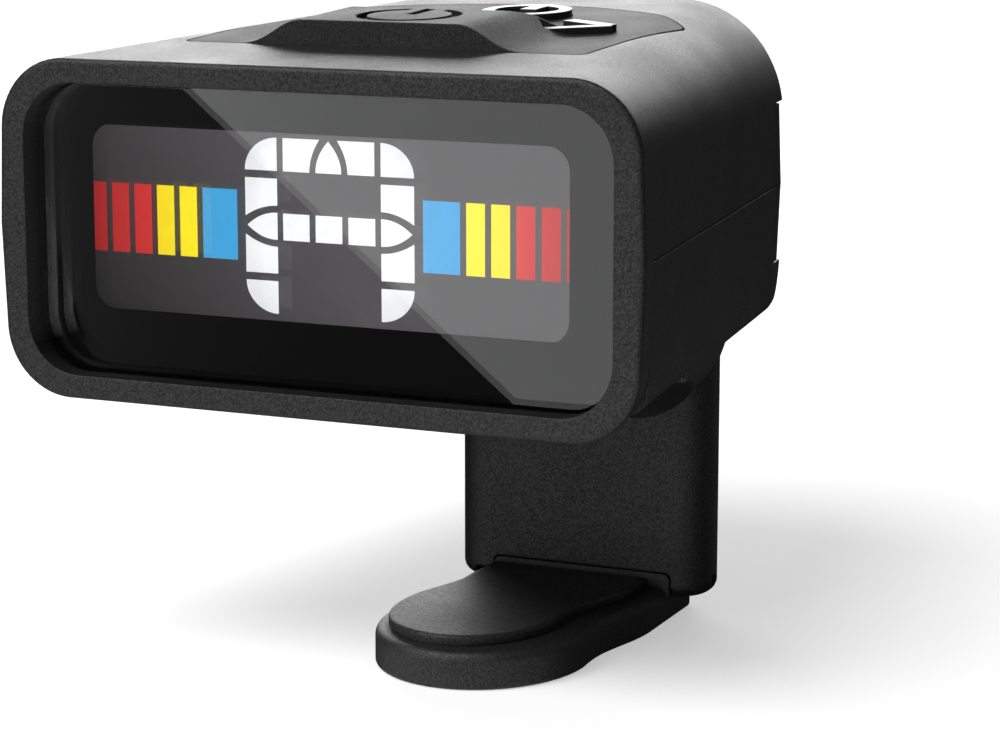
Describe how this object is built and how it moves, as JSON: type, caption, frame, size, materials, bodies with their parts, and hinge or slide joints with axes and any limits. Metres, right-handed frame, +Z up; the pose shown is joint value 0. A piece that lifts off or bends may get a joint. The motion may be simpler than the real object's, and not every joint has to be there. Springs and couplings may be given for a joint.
{
  "type": "clip-on tuner",
  "caption": "Clip-on instrument tuner: tapered dark head with a wide backlit note display, a press plate on top, a battery drawer and a sliding toothed arm with a padded foot.",
  "frame": {"origin": "centre of the flat face of the round grip pad on the underside of the head, where the head rests on the instrument", "axes": "+X to the right across the display as seen from the front, +Y from the display rim to the back, +Z up out of the instrument surface"},
  "size_m": [0.03, 0.0282, 0.0275],
  "materials": {
    "housing_plastic": "fine-grained moulded texture, dark charcoal",
    "key_plastic": "fine-grained moulded texture with white painted symbol tops",
    "arm_plastic": "fine-grained moulded texture",
    "pad_rubber": "soft matt rubber with a fine grain",
    "lens_clear": "clear, high gloss",
    "mask_black": "black",
    "lcd_glass": "dark display with coloured segments",
    "light_guide_white": "translucent white",
    "frame_white": "moulded white",
    "flex_amber": "amber film",
    "board_green": "solder mask",
    "chip_black": "moulded black",
    "capacitor_tan": "ceramic",
    "tinned_steel": "tin plated",
    "cell_steel": "nickel plated",
    "spring_bronze": "phosphor bronze",
    "piezo_brass": "satin",
    "wire_red": "insulated wire",
    "screw_black": "black oxide",
    "pin_steel": "satin"
  },
  "bodies": {
    "head": {"upper_shell": "housing_plastic", "lower_shell": "housing_plastic", "window_lens": "lens_clear", "display_mask": "mask_black", "lcd_panel": "lcd_glass", "light_guide": "light_guide_white", "display_frame": "frame_white", "display_flex": "flex_amber", "main_board": "board_green", "controller_chip": "chip_black", "crystal_can": "tinned_steel", "chip_capacitors": "capacitor_tan", "dome_switches": "tinned_steel", "piezo_disc": "piezo_brass", "piezo_leads": "wire_red", "battery_contact_positive": "spring_bronze", "battery_contact_negative": "spring_bronze", "head_grip_pad": "pad_rubber", "detent_spring": "spring_bronze", "spring_screw": "screw_black", "case_screws": "screw_black", "board_screws": "screw_black"},
    "clamp_arm": {"arm": "arm_plastic", "foot": "arm_plastic", "foot_pad": "pad_rubber", "foot_pin": "pin_steel"},
    "drawer": {"battery_drawer": "housing_plastic", "coin_cell": "cell_steel"},
    "power_button": {"power_key": "key_plastic"},
    "ring_button": {"ring_key": "key_plastic"},
    "arrow_button": {"arrow_key": "key_plastic"}
  },
  "joints": [
    {"name": "arm_slide", "type": "slide", "parent": "head", "child": "clamp_arm", "axis": [0, 0, 1], "range_m": [0, 0.0054]},
    {"name": "drawer_slide", "type": "slide", "parent": "head", "child": "drawer", "axis": [0, 1, 0], "range_m": [0, 0.021]},
    {"name": "power_press", "type": "slide", "parent": "head", "child": "power_button", "axis": [0, 0, -1], "range_m": [0, 0.00025], "stiffness_N_per_m": 2000},
    {"name": "ring_press", "type": "slide", "parent": "head", "child": "ring_button", "axis": [0, 0, -1], "range_m": [0, 0.00025], "stiffness_N_per_m": 1500},
    {"name": "arrow_press", "type": "slide", "parent": "head", "child": "arrow_button", "axis": [0, 0, -1], "range_m": [0, 0.00025], "stiffness_N_per_m": 1500}
  ]
}
